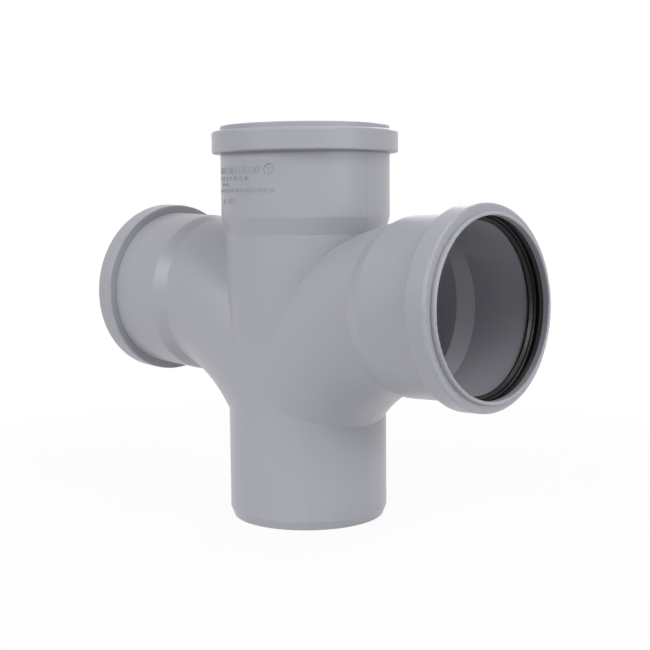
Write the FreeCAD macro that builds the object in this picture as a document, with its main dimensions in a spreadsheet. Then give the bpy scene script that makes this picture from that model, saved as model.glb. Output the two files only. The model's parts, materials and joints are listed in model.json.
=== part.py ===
import FreeCAD, Part
import os
import Sketcher
from FreeCAD import Placement, Rotation, Vector

# Double branch drain fitting for 110 mm pipe, moulded in one piece, with three rubber sealing rings.
# The upright run ends in a plain spigot below and in a push-fit socket above. Two opposite branches
# leave it at 87.5 degrees, so each rises by 2.5 degrees outwards, and each sweeps down into the run.
# Origin: centre of the spigot's end. +Z goes up the run, and +X goes out of the right branch.

os.makedirs("parts", exist_ok=True)
document = FreeCAD.newDocument("drain_cross")

# Driving dimensions, in millimetres and degrees. Depths in a socket are measured back from its lip.
DIMENSIONS = {
    "pipe_radius": 55.0,
    "wall": 3.4,
    "overall_height": 269.5,
    "spigot_tip_radius": 52.7,
    "spigot_chamfer": 6.0,
    "spigot_end": 62.0,
    "run_top_radius": 55.3,
    "branch_height": 146.0,
    "branch_reach": 163.0,
    "branch_rise": 2.5,
    "socket_radius": 58.2,
    "socket_bore_radius": 55.35,
    "mouth_radius": 56.1,
    "lip_radius": 58.2,
    "lip_round": 0.9,
    "lip_face_width": 2.0,
    "bead_radius": 64.0,
    "bead_front": 3.6,
    "bead_back": 18.5,
    "bead_front_round": 1.8,
    "bead_back_round": 1.2,
    "cone_start": 61.5,
    "cone_end": 73.0,
    "cone_round": 6.0,
    "shoulder_start": 58.5,
    "shoulder_end": 70.2,
    "groove_front": 4.6,
    "groove_back": 15.7,
    "groove_flank": 1.4,
    "groove_radius": 61.1,
    "seal_rim_radius": 57.2,
    "seal_wiper_radius": 55.6,
    "seal_wiper_depth": 7.6,
    "seal_valley_radius": 57.7,
    "seal_valley_depth": 11.2,
    "seal_lip_radius": 55.2,
    "seal_lip_depth": 14.2,
    "seal_lip_width": 1.3,
    "seal_heel_radius": 57.0,
    "seal_round": 0.5,
    "bend_tube_radius": 54.0,
    "bend_radius": 149.0,
    "bend_tilt": 12.0,
    "bend_start": 6.0,
    "bend_end": 55.0,
    "overrun": 2.0,
}
sizes = document.addObject("Spreadsheet::Sheet", "sizes")
for row, (alias, value) in enumerate(DIMENSIONS.items(), start=1):
    sizes.set(f"A{row}", alias.replace("_", " "))
    sizes.set(f"B{row}", str(value))
    sizes.setAlias(f"B{row}", alias)
document.recompute()

# A sketch turned to stand in the XZ plane: its X is the distance from the axis, its Y the height.
UPRIGHT = Placement(Vector(0, 0, 0), Rotation(Vector(1, 0, 0), 90))
FULL_TURN = 360


def bind_distance(sketch, kind, line, label, expression):
    """Hold the first point of a line at a distance from the sketch's origin, given by an expression."""
    distance = sketch.evalExpression(expression)
    if distance == 0:
        other_axis = -2 if kind == "DistanceX" else -1
        sketch.addConstraint(Sketcher.Constraint("PointOnObject", line, 1, other_axis))
        return
    index = sketch.addConstraint(Sketcher.Constraint(kind, -1, 1, line, 1, distance))
    sketch.renameConstraint(index, label)
    sketch.setExpression(f"Constraints.{label}", expression)


def half_section(name, corners):
    """Closed half section. Each corner is (radius, height) or (radius, height, rounding), as expressions."""
    sketch = document.addObject("Sketcher::SketchObject", name)
    sketch.Placement = UPRIGHT
    points = [Vector(sketch.evalExpression(c[0]), sketch.evalExpression(c[1]), 0) for c in corners]
    count = len(points)
    for line, start in enumerate(points):
        sketch.addGeometry(Part.LineSegment(start, points[(line + 1) % count]), False)
    for line in range(count):
        sketch.addConstraint(Sketcher.Constraint("Coincident", line, 2, (line + 1) % count, 1))
    for line, corner in enumerate(corners):
        bind_distance(sketch, "DistanceX", line, f"radius_{line}", corner[0])
        bind_distance(sketch, "DistanceY", line, f"height_{line}", corner[1])
    for line, corner in enumerate(corners):
        if len(corner) == 3:
            rounding = sketch.evalExpression(corner[2])
            arc = sketch.GeometryCount
            sketch.fillet(line, 1, rounding, True, True)
            index = sketch.addConstraint(Sketcher.Constraint("Radius", arc, rounding))
            sketch.renameConstraint(index, f"rounding_{line}")
            sketch.setExpression(f"Constraints.rounding_{line}", corner[2])
    return sketch


def turned(name, corners):
    """Solid of revolution about the upright axis from a half section."""
    solid = document.addObject("Part::Revolution", name)
    solid.Source = half_section(f"{name}_section", corners)
    solid.Axis = Vector(0, 0, 1)
    solid.Base = Vector(0, 0, 0)
    solid.Angle = FULL_TURN
    solid.Solid = True
    return solid


def lay_on_branch(solid, side):
    """Stand a turned solid on a branch axis: its own axis tips over to the right (1) or to the left (-1)."""
    solid.Placement.Rotation = Rotation(Vector(0, side, 0), 1)
    solid.setExpression(".Placement.Base.z", "sizes.branch_height")
    solid.setExpression(".Placement.Rotation.Angle", "90 - sizes.branch_rise")
    return solid


def fused(name, members):
    """One solid from several that overlap."""
    union = document.addObject("Part::MultiFuse", name)
    union.Shapes = members
    union.Refine = False
    return union


def mirrored(name, source):
    """The same form on the left side, mirrored in the YZ plane."""
    mirror = document.addObject("Part::Mirroring", name)
    mirror.Source = source
    mirror.Base = Vector(0, 0, 0)
    mirror.Normal = Vector(1, 0, 0)
    return mirror


# Outer form of a socket: a cone up from the pipe with a soft edge, the plain tube, the bead that houses
# the sealing ring, and the narrow lip in front of it. The cone runs on a little way inside the pipe.
def socket_form(name, reach, root_radius):
    slope = f"(sizes.socket_radius - {root_radius}) / (sizes.cone_end - sizes.cone_start)"
    root_height = f"{reach} - sizes.cone_end - sizes.overrun"
    return turned(name, [
        ("0", root_height),
        (f"{root_radius} - sizes.overrun * {slope}", root_height),
        ("sizes.socket_radius", f"{reach} - sizes.cone_start", "sizes.cone_round"),
        ("sizes.socket_radius", f"{reach} - sizes.bead_back"),
        ("sizes.bead_radius", f"{reach} - sizes.bead_back", "sizes.bead_back_round"),
        ("sizes.bead_radius", f"{reach} - sizes.bead_front", "sizes.bead_front_round"),
        ("sizes.lip_radius", f"{reach} - sizes.bead_front"),
        ("sizes.lip_radius", reach, "sizes.lip_round"),
        ("0", reach),
    ])


# Inside of a socket: the shoulder that stops the pipe, the bore, the groove for the sealing ring with
# its sloped flanks, and the mouth with a rounded edge. The shoulder runs on inside the passage.
def socket_core(name, reach, root_radius):
    slope = f"(sizes.socket_bore_radius - {root_radius}) / (sizes.shoulder_end - sizes.shoulder_start)"
    root_height = f"{reach} - sizes.shoulder_end - sizes.overrun"
    return turned(name, [
        ("0", root_height),
        (f"{root_radius} - sizes.overrun * {slope}", root_height),
        ("sizes.socket_bore_radius", f"{reach} - sizes.shoulder_start"),
        ("sizes.socket_bore_radius", f"{reach} - sizes.groove_back - sizes.groove_flank"),
        ("sizes.groove_radius", f"{reach} - sizes.groove_back"),
        ("sizes.groove_radius", f"{reach} - sizes.groove_front - sizes.groove_flank"),
        ("sizes.mouth_radius", f"{reach} - sizes.groove_front"),
        ("sizes.mouth_radius", reach, "sizes.lip_round"),
        ("sizes.mouth_radius + sizes.lip_face_width", reach),
        ("sizes.mouth_radius + sizes.lip_face_width", f"{reach} + sizes.overrun"),
        ("0", f"{reach} + sizes.overrun"),
    ])


# A branch is shaped as by a curved core that swings out along an arc. Where the arc meets the cone of the
# socket it already dips by the tilt, and it starts a little further out, hidden in the socket.
def bend(name, inset):
    """The swept tube of the right branch, smaller all round by an inset: a circle swung about a centre."""
    circle = document.addObject("Part::Circle", f"{name}_circle")
    circle.Placement.Rotation = Rotation(Vector(0, 1, 0), 90)
    circle.setExpression("Radius", f"sizes.bend_tube_radius - {inset}")
    circle.setExpression(".Placement.Base.z", "sizes.bend_radius")
    tube = document.addObject("Part::Revolution", name)
    tube.Source = circle
    tube.Axis = Vector(0, -1, 0)
    tube.Base = Vector(0, 0, 0)
    tube.Solid = True
    tube.setExpression("Angle", "sizes.bend_end - sizes.bend_start")
    along = "(sizes.branch_reach - sizes.cone_end + sizes.bend_radius * sin(sizes.bend_tilt))"
    drop = "(sizes.bend_radius * cos(sizes.bend_tilt))"
    tube.Placement.Rotation = Rotation(Vector(0, -1, 0), 1)
    tube.setExpression(".Placement.Rotation.Angle", "sizes.branch_rise + sizes.bend_start")
    tube.setExpression(".Placement.Base.x",
                       f"{along} * cos(sizes.branch_rise) + {drop} * sin(sizes.branch_rise)")
    tube.setExpression(".Placement.Base.z", "sizes.branch_height"
                       f" + {along} * sin(sizes.branch_rise) - {drop} * cos(sizes.branch_rise)")
    return tube


# Outer form of the moulding. The plain end is a true cylinder, and above it the run widens by its draft.
run_form = turned("run_form", [
    ("0", "0"),
    ("sizes.spigot_tip_radius", "0"),
    ("sizes.pipe_radius", "sizes.spigot_chamfer"),
    ("sizes.pipe_radius", "sizes.spigot_end"),
    ("sizes.run_top_radius", "sizes.overall_height - sizes.cone_end + sizes.overrun"),
    ("0", "sizes.overall_height - sizes.cone_end + sizes.overrun"),
])
top_form = socket_form("top_socket_form", "sizes.overall_height", "sizes.run_top_radius")
branch_socket_form = socket_form("branch_socket_form", "sizes.branch_reach", "sizes.bend_tube_radius")
right_branch_form = fused("right_branch_form", [lay_on_branch(branch_socket_form, 1), bend("bend_form", "0")])
left_branch_form = mirrored("left_branch_form", right_branch_form)
outer_form = fused("outer_form", [run_form, top_form, right_branch_form, left_branch_form])

# Everything that flows or is pushed in: the bore of the run, the three sockets and the two swept bores.
run_core = turned("run_core", [
    ("0", "0"),
    ("sizes.pipe_radius - sizes.wall", "0"),
    ("sizes.pipe_radius - sizes.wall", "sizes.overall_height - sizes.shoulder_end + sizes.overrun"),
    ("0", "sizes.overall_height - sizes.shoulder_end + sizes.overrun"),
])
top_core = socket_core("top_socket_core", "sizes.overall_height", "(sizes.pipe_radius - sizes.wall)")
branch_socket_core = socket_core("branch_socket_core", "sizes.branch_reach",
                                 "(sizes.bend_tube_radius - sizes.wall)")
right_branch_core = fused("right_branch_core", [lay_on_branch(branch_socket_core, 1),
                                                bend("bend_core", "sizes.wall")])
left_branch_core = mirrored("left_branch_core", right_branch_core)
flow_core = fused("flow_core", [run_core, top_core, right_branch_core, left_branch_core])

fitting_body = document.addObject("Part::Cut", "fitting_body")
fitting_body.Base = outer_form
fitting_body.Tool = flow_core


# Rubber sealing ring, one in each groove. Its wiper in front and its main lip behind are pressed back,
# as they lie with a pipe in the socket. Its flanks follow the sloped flanks of the groove.
def seal_ring(name, reach):
    slope = "sizes.groove_flank / (sizes.groove_radius - sizes.mouth_radius)"
    rim_depth = f"(sizes.groove_front + (sizes.seal_rim_radius - sizes.mouth_radius) * {slope})"
    back_slope = "sizes.groove_flank / (sizes.groove_radius - sizes.socket_bore_radius)"
    heel_depth = f"(sizes.groove_back + (sizes.groove_radius - sizes.seal_heel_radius) * {back_slope})"
    return turned(name, [
        ("sizes.seal_rim_radius", f"{reach} - {rim_depth}"),
        ("sizes.seal_wiper_radius", f"{reach} - sizes.seal_wiper_depth", "sizes.seal_round"),
        ("sizes.seal_valley_radius", f"{reach} - sizes.seal_valley_depth", "sizes.seal_round"),
        ("sizes.seal_lip_radius", f"{reach} - sizes.seal_lip_depth"),
        ("sizes.seal_lip_radius", f"{reach} - sizes.seal_lip_depth - sizes.seal_lip_width"),
        ("sizes.seal_heel_radius", f"{reach} - {heel_depth}"),
        ("sizes.groove_radius", f"{reach} - sizes.groove_back"),
        ("sizes.groove_radius", f"{reach} - sizes.groove_front - sizes.groove_flank"),
    ])


top_seal_ring = seal_ring("top_seal_ring", "sizes.overall_height")
right_seal_ring = lay_on_branch(seal_ring("right_seal_ring", "sizes.branch_reach"), 1)
left_seal_ring = lay_on_branch(seal_ring("left_seal_ring", "sizes.branch_reach"), -1)

document.recompute()

for item in document.Objects:
    if "Invalid" in item.State or "Error" in item.State:
        raise RuntimeError(f"{item.Name} did not build: {item.State}")

for piece in (fitting_body, top_seal_ring, right_seal_ring, left_seal_ring):
    shape = piece.Shape
    if shape.isNull() or not shape.isValid() or len(shape.Solids) != 1:
        raise RuntimeError(f"{piece.Label} is not one valid solid")
    shape.exportStep(f"parts/{piece.Label}.step")
    print(piece.Label, "volume", round(shape.Volume / 1000, 2), "cm3", shape.BoundBox)
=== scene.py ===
import json
import math

import bmesh
import bpy
from mathutils import Matrix, Vector
from mathutils.bvhtree import BVHTree


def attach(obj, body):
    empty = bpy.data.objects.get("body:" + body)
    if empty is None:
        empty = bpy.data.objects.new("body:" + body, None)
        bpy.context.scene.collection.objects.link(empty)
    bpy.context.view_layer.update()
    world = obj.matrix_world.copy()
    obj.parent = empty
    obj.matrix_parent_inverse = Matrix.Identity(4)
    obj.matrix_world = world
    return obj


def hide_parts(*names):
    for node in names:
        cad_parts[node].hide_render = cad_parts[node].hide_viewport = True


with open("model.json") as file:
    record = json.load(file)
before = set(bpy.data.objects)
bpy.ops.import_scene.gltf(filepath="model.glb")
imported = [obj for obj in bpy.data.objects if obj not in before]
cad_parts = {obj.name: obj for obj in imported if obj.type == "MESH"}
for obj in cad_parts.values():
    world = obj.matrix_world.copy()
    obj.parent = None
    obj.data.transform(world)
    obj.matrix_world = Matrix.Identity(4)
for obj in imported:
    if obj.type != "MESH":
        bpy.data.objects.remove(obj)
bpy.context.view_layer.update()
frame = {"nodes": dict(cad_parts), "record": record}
scene = bpy.context.scene

# Studio: a pale floor that fades into white, a large soft lamp on the left, two on the right with a small
# one nearer the camera, one behind, and an even light from all round. None of it belongs to the fitting.
PHOTO_SIDE = 650
SENSOR_MM = 36
FOCAL_PIXELS = 1177.4
CAMERA_YAW = math.radians(44.66)
CAMERA_PITCH = math.radians(6.01)
CAMERA_ROLL = math.radians(-0.55)
CAMERA_DISTANCE = 0.8238
AIM_TO_THE_RIGHT = 0.0126
AIM_HEIGHT = 0.1321

camera_data = bpy.data.cameras.new("camera")
camera_data.sensor_width = SENSOR_MM
camera_data.lens = FOCAL_PIXELS * SENSOR_MM / PHOTO_SIDE
camera = bpy.data.objects.new("camera", camera_data)
scene.collection.objects.link(camera)
camera_turn = (
    Matrix.Rotation(CAMERA_YAW, 4, "Z")
    @ Matrix.Rotation(math.pi / 2 - CAMERA_PITCH, 4, "X")
    @ Matrix.Rotation(CAMERA_ROLL, 4, "Z")
)
aim = Vector((
    AIM_TO_THE_RIGHT * math.cos(CAMERA_YAW),
    AIM_TO_THE_RIGHT * math.sin(CAMERA_YAW),
    AIM_HEIGHT,
))
camera.matrix_world = Matrix.Translation(aim) @ camera_turn @ Matrix.Translation((0, 0, CAMERA_DISTANCE))
scene.camera = camera
scene.view_settings.view_transform = "Standard"


def feed(tree, socket, item):
    """Link an input socket to another socket, or give it a value of its own."""
    if isinstance(item, bpy.types.NodeSocket):
        tree.links.new(item, socket)
    else:
        socket.default_value = item


def maths(tree, operation, first, second, clamp=False):
    """Result of a maths node; each input is a socket or a number."""
    node = tree.nodes.new("ShaderNodeMath")
    node.operation = operation
    node.use_clamp = clamp
    feed(tree, node.inputs[0], first)
    feed(tree, node.inputs[1], second)
    return node.outputs[0]


def ramp(tree, value, start, end, low, high, smooth=False):
    """Result that goes from low to high while the value goes from start to end, and is level outside."""
    node = tree.nodes.new("ShaderNodeMapRange")
    if smooth:
        node.interpolation_type = "SMOOTHSTEP"
    feed(tree, node.inputs["Value"], value)
    feed(tree, node.inputs["From Min"], start)
    feed(tree, node.inputs["From Max"], end)
    feed(tree, node.inputs["To Min"], low)
    feed(tree, node.inputs["To Max"], high)
    return node.outputs["Result"]


def object_place(tree):
    """Where a point of the surface is, in the object's own space."""
    return tree.nodes.new("ShaderNodeTexCoord").outputs["Object"]


def seen_directly(tree):
    """A mask that is 1 for what the camera sees straight, in a reflection or through glass."""
    path = tree.nodes.new("ShaderNodeLightPath").outputs
    mask = maths(tree, "ADD", path["Is Camera Ray"], path["Is Glossy Ray"], clamp=True)
    return maths(tree, "ADD", mask, path["Is Transmission Ray"], clamp=True)


def mixed_surface(tree, share, lit, glowing):
    """The first shader, with as much of the second over it as the share says."""
    mix = tree.nodes.new("ShaderNodeMixShader")
    tree.links.new(share, mix.inputs["Fac"])
    tree.links.new(lit.outputs[0], mix.inputs[1])
    tree.links.new(glowing.outputs[0], mix.inputs[2])
    return mix.outputs[0]


WHITE = (1, 1, 1, 1)
SKY_STRENGTH = 0.26

world = bpy.data.worlds.new("studio")
world.use_nodes = True
scene.world = world
sky = world.node_tree
sky_light = sky.nodes["Background"]
sky_light.inputs["Color"].default_value = WHITE
sky_light.inputs["Strength"].default_value = SKY_STRENGTH
sky_white = sky.nodes.new("ShaderNodeBackground")
sky_white.inputs["Color"].default_value = WHITE
sky_surface = mixed_surface(sky, seen_directly(sky), sky_light, sky_white)
sky.links.new(sky_surface, sky.nodes["World Output"].inputs["Surface"])

# The paper of the floor gets darker away from the fitting, so that it throws less light into the mouths.
# To the camera it is nearly white under the fitting, where it keeps the shadow, and all white further out.
FLOOR_RADIUS = 6.0
FLOOR_SIDES = 96
PAPER_ROUGHNESS = 0.9
PAPER_TONE_NEAR = 0.9
PAPER_TONE_FAR = 0.3
TONE_START = 0.16
TONE_END = 0.6
FLOOR_WHITE_NEAR = 0.92
FLOOR_WHITE_FAR = 1
FADE_START = 0.12
FADE_END = 0.55

floor_mesh = bpy.data.meshes.new("floor")
floor_form = bmesh.new()
bmesh.ops.create_circle(floor_form, cap_ends=True, segments=FLOOR_SIDES, radius=FLOOR_RADIUS)
floor_form.to_mesh(floor_mesh)
floor_form.free()
floor = bpy.data.objects.new("floor", floor_mesh)
scene.collection.objects.link(floor)

floor_paper = bpy.data.materials.new("floor_paper")
floor_paper.use_nodes = True
paper = floor_paper.node_tree
paper_matt = paper.nodes["Principled BSDF"]
paper_matt.inputs["Roughness"].default_value = PAPER_ROUGHNESS
paper_glow = paper.nodes.new("ShaderNodeEmission")
paper_length = paper.nodes.new("ShaderNodeVectorMath")
paper_length.operation = "LENGTH"
paper.links.new(object_place(paper), paper_length.inputs[0])
paper_distance = paper_length.outputs["Value"]
paper_tone = ramp(
    paper, paper_distance, TONE_START, TONE_END, PAPER_TONE_NEAR, PAPER_TONE_FAR, smooth=True
)
paper.links.new(paper_tone, paper_matt.inputs["Base Color"])
paper_white = ramp(
    paper, paper_distance, FADE_START, FADE_END, FLOOR_WHITE_NEAR, FLOOR_WHITE_FAR, smooth=True
)
paper_share = maths(paper, "MULTIPLY", seen_directly(paper), paper_white)
paper_surface = mixed_surface(paper, paper_share, paper_matt, paper_glow)
paper.links.new(paper_surface, paper.nodes["Material Output"].inputs["Surface"])
floor_mesh.materials.append(floor_paper)

LAMP_DISTANCE = 2.0
LARGE_LAMP = 1.0
SMALL_LAMP = 0.3


def soft_lamp(name, side, turn, height, power):
    """A square lamp that looks at the fitting, turned from the camera's side and raised, in degrees."""
    lamp_data = bpy.data.lights.new(name, "AREA")
    lamp_data.size = side
    lamp_data.energy = power
    lamp = bpy.data.objects.new(name, lamp_data)
    scene.collection.objects.link(lamp)
    angle = CAMERA_YAW + math.radians(turn)
    lift = math.radians(height)
    back = Vector((math.sin(angle) * math.cos(lift), -math.cos(angle) * math.cos(lift), math.sin(lift)))
    lamp.location = Vector((0, 0, AIM_HEIGHT)) + back * LAMP_DISTANCE
    lamp.rotation_euler = (-back).to_track_quat("-Z", "Y").to_euler()


soft_lamp("lamp_left", LARGE_LAMP, turn=-55, height=28, power=20)
soft_lamp("lamp_right_high", LARGE_LAMP, turn=48, height=52, power=11)
soft_lamp("lamp_right_low", LARGE_LAMP, turn=52, height=14, power=11)
soft_lamp("lamp_right_strip", SMALL_LAMP, turn=33, height=18, power=4)
soft_lamp("lamp_behind", LARGE_LAMP, turn=160, height=32, power=11)

# Body of the fitting, injection moulded in one piece from grey polypropylene. Its skin is satin, with a
# very fine grain and faint clouds in the colour, faint upright streaks near the end of the spigot, and a
# little dirt in the corner between the lip of the right socket and its bead.
PLASTIC_COLOUR = (0.395, 0.399, 0.439, 1)
PLASTIC_IOR = 1.49
PLASTIC_SHINE = 0.3
SKIN_ROUGHNESS = 0.29
SKIN_ROUGHNESS_SPREAD = 0.1
NOISE_MIDDLE = 0.5
CLOUD_SCALE = 18
CLOUD_DETAIL = 3
CLOUD_AMOUNT = 0.06
GRAIN_SCALE = 1400
GRAIN_DETAIL = 2
GRAIN_STRENGTH = 0.25
GRAIN_DEPTH = 0.00006
STREAK_SCALES = (330, 330, 14)
STREAK_DETAIL = 2
STREAK_AMOUNT = 0.09
STREAKS_FULL_BELOW = 0.008
STREAKS_GONE_ABOVE = 0.05
DIRT_DEPTH = 0.003
DIRT_HALF_WIDTH = 0.0009
VEIL_COLOUR = (0.13, 0.13, 0.135, 1)
VEIL_AMOUNT = 0.05
VEIL_EDGE = (0.5, 1.0)
SPECK_COLOUR = (0.05, 0.05, 0.05, 1)
SPECK_AMOUNT = 0.5
SPECK_EDGE = (1.0, 3.0)
SPECK_SCALE = 900
SPECK_DETAIL = 1
SPECK_LEVELS = (0.64, 0.74)
BORE_MIDDLE_DEPTH = 0.0378


def noise(tree, place, scale, detail):
    """Noise at a place; the scale is a socket or a number."""
    node = tree.nodes.new("ShaderNodeTexNoise")
    tree.links.new(place, node.inputs["Vector"])
    feed(tree, node.inputs["Scale"], scale)
    node.inputs["Detail"].default_value = detail
    return node.outputs["Fac"]


def vector_maths(tree, operation, first, second):
    """A vector maths node; each of its first two inputs is a socket or three numbers."""
    node = tree.nodes.new("ShaderNodeVectorMath")
    node.operation = operation
    feed(tree, node.inputs[0], first)
    feed(tree, node.inputs[1], second)
    return node


def shaded(tree, colour, lightness):
    """The colour, made lighter or darker by the lightness, which is about 1."""
    node = tree.nodes.new("ShaderNodeVectorMath")
    node.operation = "SCALE"
    tree.links.new(colour, node.inputs[0])
    tree.links.new(lightness, node.inputs["Scale"])
    return node.outputs[0]


def effect_group(name, inputs, outputs):
    """An empty shader node group with named sockets; returns the group, its input and its output node."""
    group = bpy.data.node_groups.new(name, "ShaderNodeTree")
    for label, kind in inputs:
        group.interface.new_socket(label, in_out="INPUT", socket_type=kind)
    for label, kind in outputs:
        group.interface.new_socket(label, in_out="OUTPUT", socket_type=kind)
    return group, group.nodes.new("NodeGroupInput").outputs, group.nodes.new("NodeGroupOutput").inputs


def moulded_skin():
    """Faint clouds in the colour and the roughness, and a fine grain in the height."""
    group, given, out = effect_group(
        "moulded_skin",
        [("Color", "NodeSocketColor"), ("Clouding", "NodeSocketFloat"), ("Grain scale", "NodeSocketFloat")],
        [("Color", "NodeSocketColor"), ("Height", "NodeSocketFloat"), ("Roughness", "NodeSocketFloat")],
    )
    place = object_place(group)
    clouds = noise(group, place, CLOUD_SCALE, CLOUD_DETAIL)
    shift = maths(group, "SUBTRACT", clouds, NOISE_MIDDLE)
    shift = maths(group, "MULTIPLY", shift, given["Clouding"])
    lightness = maths(group, "ADD", shift, 1)
    group.links.new(shaded(group, given["Color"], lightness), out["Color"])
    group.links.new(noise(group, place, given["Grain scale"], GRAIN_DETAIL), out["Height"])
    roughness = maths(group, "MULTIPLY", clouds, SKIN_ROUGHNESS_SPREAD)
    group.links.new(maths(group, "ADD", roughness, SKIN_ROUGHNESS), out["Roughness"])
    return group


def mould_streaks():
    """Faint upright streaks near the end of the spigot, as a shift in lightness about zero."""
    group, given, out = effect_group(
        "mould_streaks",
        [("Top", "NodeSocketFloat")],
        [("Shift", "NodeSocketFloat")],
    )
    place = object_place(group)
    stretched = vector_maths(group, "MULTIPLY", place, STREAK_SCALES).outputs[0]
    streaks = noise(group, stretched, 1, STREAK_DETAIL)
    height = group.nodes.new("ShaderNodeSeparateXYZ")
    group.links.new(place, height.inputs[0])
    share = ramp(group, height.outputs["Z"], STREAKS_FULL_BELOW, given["Top"], 1, 0)
    shift = maths(group, "SUBTRACT", streaks, NOISE_MIDDLE)
    group.links.new(maths(group, "MULTIPLY", shift, share), out["Shift"])
    return group


def corner_dirt():
    """Dust in the corner between a socket's lip and its bead: a thin veil, and darker specks about it."""
    group, given, out = effect_group(
        "corner_dirt",
        [
            ("Lip", "NodeSocketVector"),
            ("Axis", "NodeSocketVector"),
            ("Depth", "NodeSocketFloat"),
            ("Half width", "NodeSocketFloat"),
        ],
        [("Veil", "NodeSocketFloat"), ("Specks", "NodeSocketFloat")],
    )
    place = object_place(group)
    behind = vector_maths(group, "SUBTRACT", given["Lip"], place).outputs[0]
    depth = vector_maths(group, "DOT_PRODUCT", behind, given["Axis"]).outputs["Value"]
    off = maths(group, "SUBTRACT", depth, given["Depth"])
    off = maths(group, "ABSOLUTE", off, 0)
    off = maths(group, "DIVIDE", off, given["Half width"])
    group.links.new(ramp(group, off, *VEIL_EDGE, 1, 0, smooth=True), out["Veil"])
    spots = noise(group, place, SPECK_SCALE, SPECK_DETAIL)
    picked = ramp(group, spots, *SPECK_LEVELS, 0, 1)
    near = ramp(group, off, *SPECK_EDGE, 1, 0)
    group.links.new(maths(group, "MULTIPLY", picked, near), out["Specks"])
    return group


def place_effect(tree, group, values):
    """Place a shader node group in a material with its own values; returns its outputs."""
    node = tree.nodes.new("ShaderNodeGroup")
    node.node_tree = group
    for label, value in values.items():
        node.inputs[label].default_value = value
    return node.outputs


def layer_colour(tree, share, amount, under, over):
    """The colour under, with the colour over laid on it where the share says, as strong as the amount."""
    mix = tree.nodes.new("ShaderNodeMix")
    mix.data_type = "RGBA"
    tree.links.new(maths(tree, "MULTIPLY", share, amount), mix.inputs["Factor"])
    tree.links.new(under, mix.inputs["A"])
    mix.inputs["B"].default_value = over
    return mix.outputs["Result"]


def add_bump(tree, shader, height, strength, depth):
    """Raise the surface of a shader by a height that changes over it."""
    bump = tree.nodes.new("ShaderNodeBump")
    bump.inputs["Strength"].default_value = strength
    bump.inputs["Distance"].default_value = depth
    tree.links.new(height, bump.inputs["Height"])
    tree.links.new(bump.outputs["Normal"], shader.inputs["Normal"])


def plastic_material(dirty_lip, dirty_axis):
    """Satin grey polypropylene, with dirt at the socket whose lip and axis are given."""
    material = bpy.data.materials.new("moulded_polypropylene")
    material.use_nodes = True
    tree = material.node_tree
    shader = tree.nodes["Principled BSDF"]
    shader.inputs["IOR"].default_value = PLASTIC_IOR
    shader.inputs["Specular IOR Level"].default_value = PLASTIC_SHINE
    skin = place_effect(tree, moulded_skin(), {
        "Color": PLASTIC_COLOUR,
        "Clouding": CLOUD_AMOUNT,
        "Grain scale": GRAIN_SCALE,
    })
    streaks = place_effect(tree, mould_streaks(), {"Top": STREAKS_GONE_ABOVE})
    dirt = place_effect(tree, corner_dirt(), {
        "Lip": dirty_lip,
        "Axis": dirty_axis,
        "Depth": DIRT_DEPTH,
        "Half width": DIRT_HALF_WIDTH,
    })
    streak_shift = maths(tree, "MULTIPLY", streaks["Shift"], STREAK_AMOUNT)
    colour = shaded(tree, skin["Color"], maths(tree, "ADD", streak_shift, 1))
    colour = layer_colour(tree, dirt["Veil"], VEIL_AMOUNT, colour, VEIL_COLOUR)
    colour = layer_colour(tree, dirt["Specks"], SPECK_AMOUNT, colour, SPECK_COLOUR)
    tree.links.new(colour, shader.inputs["Base Color"])
    tree.links.new(skin["Roughness"], shader.inputs["Roughness"])
    add_bump(tree, shader, skin["Height"], GRAIN_STRENGTH, GRAIN_DEPTH)
    return material


def lip_of(mount):
    """Middle of a socket's open end, from the mount in the middle of its bore, and the way it faces."""
    axis = Vector(mount["axis"])
    return Vector(mount["pos_m"]) + axis * BORE_MIDDLE_DEPTH, axis


body = frame["nodes"]["fitting_body"]
mounts = {mount["name"]: mount for mount in frame["record"]["mounts"]}
plastic = plastic_material(*lip_of(mounts["right_socket"]))
for socket in body.material_slots:
    socket.material = plastic

# Plain size numbers, a row of angles and a small dial, raised on the front of the top socket by cuts in
# the mould. They are part of the same plastic.
SOCKET_OUTSIDE = 0.0582
FIGURE_RISE = 0.0003
FIGURE_ROOT = 0.0002
FIGURE_CURVE_STEPS = 3
FLAT_HALF_DEPTH = 1
WELD = 0.000001
DIAL_NUMBERS = 12
DIAL_FIGURE = 0.0011
DIAL_RADIUS = 0.0034
DIAL_MIDDLE = (0.0218, 0.2393)
POINTER_LENGTH = 0.0028
POINTER_WIDTH = 0.0006
FRONT = -math.pi / 2
# Each row has its figures, their height, where it starts along the wall and the height of its foot.
FIGURE_ROWS = [
    ("110 / 110 / 110 / 87", 0.0042, -0.033, 0.2370),
    ("0  15  30  45  60  75  90", 0.0026, -0.031, 0.2325),
    ("110 x 3.4", 0.0024, -0.029, 0.2288),
    ("1 2 3 4 5 6 7 8 9 10 11 12 13 14 15 16", 0.0026, -0.033, 0.2246),
    ("3.4   87.5", 0.0036, -0.028, 0.2170),
]


def flat_figures(text, height):
    """Flat mesh of some figures with their left foot at the origin, as tall as asked."""
    row = bpy.data.curves.new("figures", "FONT")
    row.body = text
    row.resolution_u = FIGURE_CURVE_STEPS
    row.extrude = FLAT_HALF_DEPTH
    writer = bpy.data.objects.new("figures", row)
    mesh = bpy.data.meshes.new_from_object(writer)
    bpy.data.objects.remove(writer)
    bpy.data.curves.remove(row)
    tallest = max(vertex.co.y for vertex in mesh.vertices)
    mesh.transform(Matrix.Diagonal((height / tallest, height / tallest, 1, 1)))
    return mesh


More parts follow.
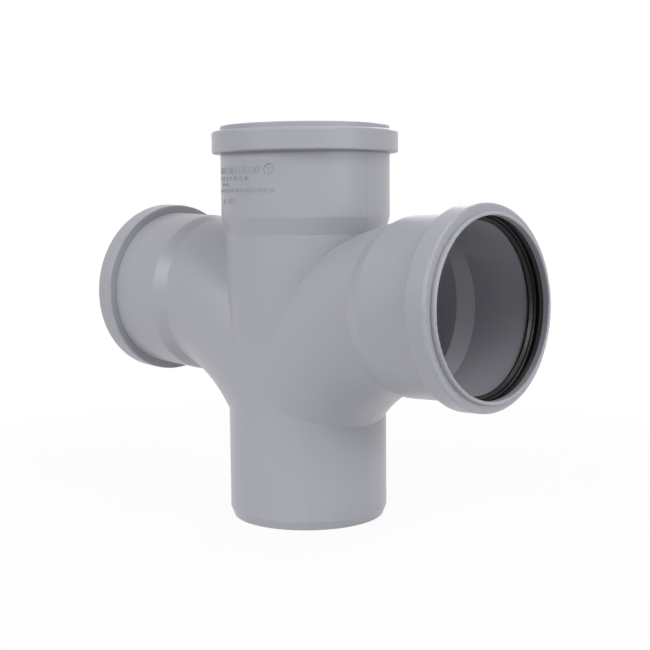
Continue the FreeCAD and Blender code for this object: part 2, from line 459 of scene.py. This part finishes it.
def flat_bar(width, length):
    """Flat mesh of an upright bar with its middle at the origin."""
    form = bmesh.new()
    size = Matrix.Diagonal((width, length, 2 * FLAT_HALF_DEPTH, 1))
    bmesh.ops.create_cube(form, size=1, matrix=size)
    mesh = bpy.data.meshes.new("bar")
    form.to_mesh(mesh)
    form.free()
    return mesh


def lay_on_socket(form, mesh, along, foot):
    """Add a flat mesh to the form, bent round the front of the top socket, its back sunk in the wall."""
    before = len(form.verts)
    form.from_mesh(mesh)
    form.verts.ensure_lookup_table()
    for vertex in form.verts[before:]:
        angle = FRONT + (along + vertex.co.x) / SOCKET_OUTSIDE
        radius = SOCKET_OUTSIDE + (FIGURE_RISE if vertex.co.z > 0 else -FIGURE_ROOT)
        vertex.co = (radius * math.cos(angle), radius * math.sin(angle), foot + vertex.co.y)
    bpy.data.meshes.remove(mesh)


figures = bmesh.new()
for text, height, along, foot in FIGURE_ROWS:
    lay_on_socket(figures, flat_figures(text, height), along, foot)
for number in range(1, DIAL_NUMBERS + 1):
    turn = 2 * math.pi * number / DIAL_NUMBERS
    across = DIAL_MIDDLE[0] + DIAL_RADIUS * math.sin(turn) - DIAL_FIGURE / 2
    up = DIAL_MIDDLE[1] + DIAL_RADIUS * math.cos(turn) - DIAL_FIGURE / 2
    lay_on_socket(figures, flat_figures(str(number), DIAL_FIGURE), across, up)
lay_on_socket(figures, flat_bar(POINTER_WIDTH, POINTER_LENGTH), *DIAL_MIDDLE)
bmesh.ops.remove_doubles(figures, verts=figures.verts, dist=WELD)
bmesh.ops.recalc_face_normals(figures, faces=figures.faces)
figure_mesh = bpy.data.meshes.new("raised_numbers")
figures.to_mesh(figure_mesh)
figures.free()
raised_numbers = bpy.data.objects.new("raised_numbers", figure_mesh)
scene.collection.objects.link(raised_numbers)
figure_mesh.materials.append(plastic)
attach(raised_numbers, "root")

# Mould seam: a hair-fine ridge of the same plastic where the two halves of the mould met. It runs in the
# middle plane, up the two sides of the run and along the bottom and top of each branch.
SEAM_WIDTH = 0.0004
SEAM_TOP_DIVISION = 3
SEAM_RISE = 0.00007
SEAM_ROOT = 0.0002
SEAM_STEPS = 140
SEAM_REACH = 0.3
# Each run has the point that its rays come from and the points where their sweep starts and ends. All
# are distances out from the axis of the run and heights above the floor, under the branch and above it.
SEAM_RUNS = [
    ((0.120, 0.045), (0.055, 0.0075), (0.1455, 0.0943)),
    ((0.120, 0.235), (0.0582, 0.2500), (0.1400, 0.2103)),
]

body_skin = BVHTree.FromPolygons(
    [body.matrix_world @ vertex.co for vertex in body.data.vertices],
    [list(polygon.vertices) for polygon in body.data.polygons],
)


def join_hoops(form, here, there):
    """Close the wall between two hoops of points."""
    for index in range(len(here)):
        following = (index + 1) % len(here)
        form.faces.new((here[index], there[index], there[following], here[following]))


def seam_run(form, hand, eye, start, end):
    """Lay the ridge where rays from a point beside the fitting, swept from start to end, meet the skin."""
    eye_place = Vector((hand * eye[0], 0, eye[1]))
    first = math.atan2(start[1] - eye[1], start[0] - eye[0]) % (2 * math.pi)
    last = math.atan2(end[1] - eye[1], end[0] - eye[0]) % (2 * math.pi)
    foot_half = Vector((0, SEAM_WIDTH / 2, 0))
    top_half = foot_half / SEAM_TOP_DIVISION
    hoops = []
    for step in range(SEAM_STEPS + 1):
        angle = first + (last - first) * step / SEAM_STEPS
        ray = Vector((hand * math.cos(angle), 0, math.sin(angle)))
        place, normal, _, _ = body_skin.ray_cast(eye_place, ray, SEAM_REACH)
        out = Vector((normal.x, 0, normal.z)).normalized()
        hoops.append([
            form.verts.new(place - out * SEAM_ROOT - foot_half),
            form.verts.new(place + out * SEAM_RISE - top_half),
            form.verts.new(place + out * SEAM_RISE + top_half),
            form.verts.new(place - out * SEAM_ROOT + foot_half),
        ])
    for here, there in zip(hoops, hoops[1:]):
        join_hoops(form, here, there)
    form.faces.new(hoops[0])
    form.faces.new(hoops[-1])


seam_form = bmesh.new()
for hand in (1, -1):
    for eye, start, end in SEAM_RUNS:
        seam_run(seam_form, hand, eye, start, end)
bmesh.ops.recalc_face_normals(seam_form, faces=seam_form.faces)
seam_mesh = bpy.data.meshes.new("mould_seam")
seam_form.to_mesh(seam_mesh)
seam_form.free()
mould_seam = bpy.data.objects.new("mould_seam", seam_mesh)
scene.collection.objects.link(mould_seam)
seam_mesh.materials.append(plastic)
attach(mould_seam, "root")

# Sealing rings of black rubber, one pressed into the groove of each socket. A small wiper stands at the
# front, and the main lip, with a fine rib on it, leans inwards behind. They are relaxed, with no pipe in.
RING_STEPS = 288
CORNER_STEPS = 5
RUBBER_DARK = (0.002, 0.002, 0.002, 1)
RUBBER_LIGHT = (0.012, 0.012, 0.013, 1)
RUBBER_SHINE = 0.26
RUBBER_ROUGHNESS = 0.1
RUBBER_ROUGHNESS_SPREAD = 0.25
COMBING_SCALE = 95
COMBING_DETAIL = 3
COMBING_STRENGTH = 0.8
COMBING_DEPTH = 0.00015
BLOOM_SCALE = 260
BLOOM_DETAIL = 2
# Each corner has its radius from the axis, its depth behind the lip of the socket and its rounding.
RING_PROFILE = [
    (0.05725, 0.0050, 0.0003),
    (0.05560, 0.0076, 0.0006),
    (0.05765, 0.0112, 0.0006),
    (0.05647, 0.0120, 0.0001),
    (0.05587, 0.0120, 0.0001),
    (0.05568, 0.0126, 0.0001),
    (0.05370, 0.0139, 0.0005),
    (0.05385, 0.0152, 0.0005),
    (0.05700, 0.0166, 0.0003),
    (0.06110, 0.0157, 0.0002),
    (0.06110, 0.0060, 0.0002),
]


def rounded_profile(corners):
    """Closed outline of (radius, depth) corners, each rounded by an arc of its own radius."""
    outline = []
    count = len(corners)
    for index, (radius, depth, rounding) in enumerate(corners):
        corner = Vector((radius, depth))
        before = (Vector(corners[index - 1][:2]) - corner).normalized()
        after = (Vector(corners[(index + 1) % count][:2]) - corner).normalized()
        half = before.angle(after) / 2
        reach = rounding / math.tan(half)
        centre = corner + (before + after).normalized() * (rounding / math.sin(half))
        start = corner + before * reach - centre
        end = corner + after * reach - centre
        sweep = start.angle_signed(end)
        for step in range(CORNER_STEPS + 1):
            turned = start.copy()
            turned.rotate(Matrix.Rotation(-sweep * step / CORNER_STEPS, 2))
            outline.append(centre + turned)
    return outline


def ring_of_rubber(name, placement):
    """Sealing ring turned about the axis of its socket; depths run back from the socket's lip."""
    outline = rounded_profile(RING_PROFILE)
    form = bmesh.new()
    hoops = []
    for step in range(RING_STEPS):
        angle = 2 * math.pi * step / RING_STEPS
        hoops.append([
            form.verts.new(placement @ Vector((r * math.cos(angle), r * math.sin(angle), -d)))
            for r, d in outline
        ])
    for step in range(RING_STEPS):
        join_hoops(form, hoops[step], hoops[(step + 1) % RING_STEPS])
    bmesh.ops.recalc_face_normals(form, faces=form.faces)
    mesh = bpy.data.meshes.new(name)
    form.to_mesh(mesh)
    form.free()
    mesh.shade_smooth()
    spokes = mesh.attributes.new("spoke", "FLOAT_VECTOR", "POINT")
    for index, item in enumerate(spokes.data):
        angle = 2 * math.pi * (index // len(outline)) / RING_STEPS
        item.vector = (math.cos(angle), math.sin(angle), 0)
    ring = bpy.data.objects.new(name, mesh)
    scene.collection.objects.link(ring)
    return ring


def rubber_material():
    """Black rubber with a low sheen, combed across the ring, and a faint bloom."""
    material = bpy.data.materials.new("black_rubber")
    material.use_nodes = True
    tree = material.node_tree
    shader = tree.nodes["Principled BSDF"]
    shader.inputs["Specular IOR Level"].default_value = RUBBER_SHINE
    spokes = tree.nodes.new("ShaderNodeAttribute")
    spokes.attribute_name = "spoke"
    combing = noise(tree, spokes.outputs["Vector"], COMBING_SCALE, COMBING_DETAIL)
    bloom = noise(tree, object_place(tree), BLOOM_SCALE, BLOOM_DETAIL)
    shade = tree.nodes.new("ShaderNodeMix")
    shade.data_type = "RGBA"
    shade.inputs["A"].default_value = RUBBER_DARK
    shade.inputs["B"].default_value = RUBBER_LIGHT
    tree.links.new(maths(tree, "MULTIPLY", bloom, combing), shade.inputs["Factor"])
    tree.links.new(shade.outputs["Result"], shader.inputs["Base Color"])
    roughness = maths(tree, "MULTIPLY", combing, RUBBER_ROUGHNESS_SPREAD)
    roughness = maths(tree, "ADD", roughness, RUBBER_ROUGHNESS)
    tree.links.new(roughness, shader.inputs["Roughness"])
    add_bump(tree, shader, combing, COMBING_STRENGTH, COMBING_DEPTH)
    return material


rubber = rubber_material()
for side in ("top", "right", "left"):
    lip, axis = lip_of(mounts[f"{side}_socket"])
    placement = Matrix.Translation(lip) @ axis.to_track_quat("Z", "Y").to_matrix().to_4x4()
    ring = ring_of_rubber(f"{side}_rubber_ring", placement)
    ring.data.materials.append(rubber)
    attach(ring, "root")
    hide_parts(f"{side}_seal_ring")
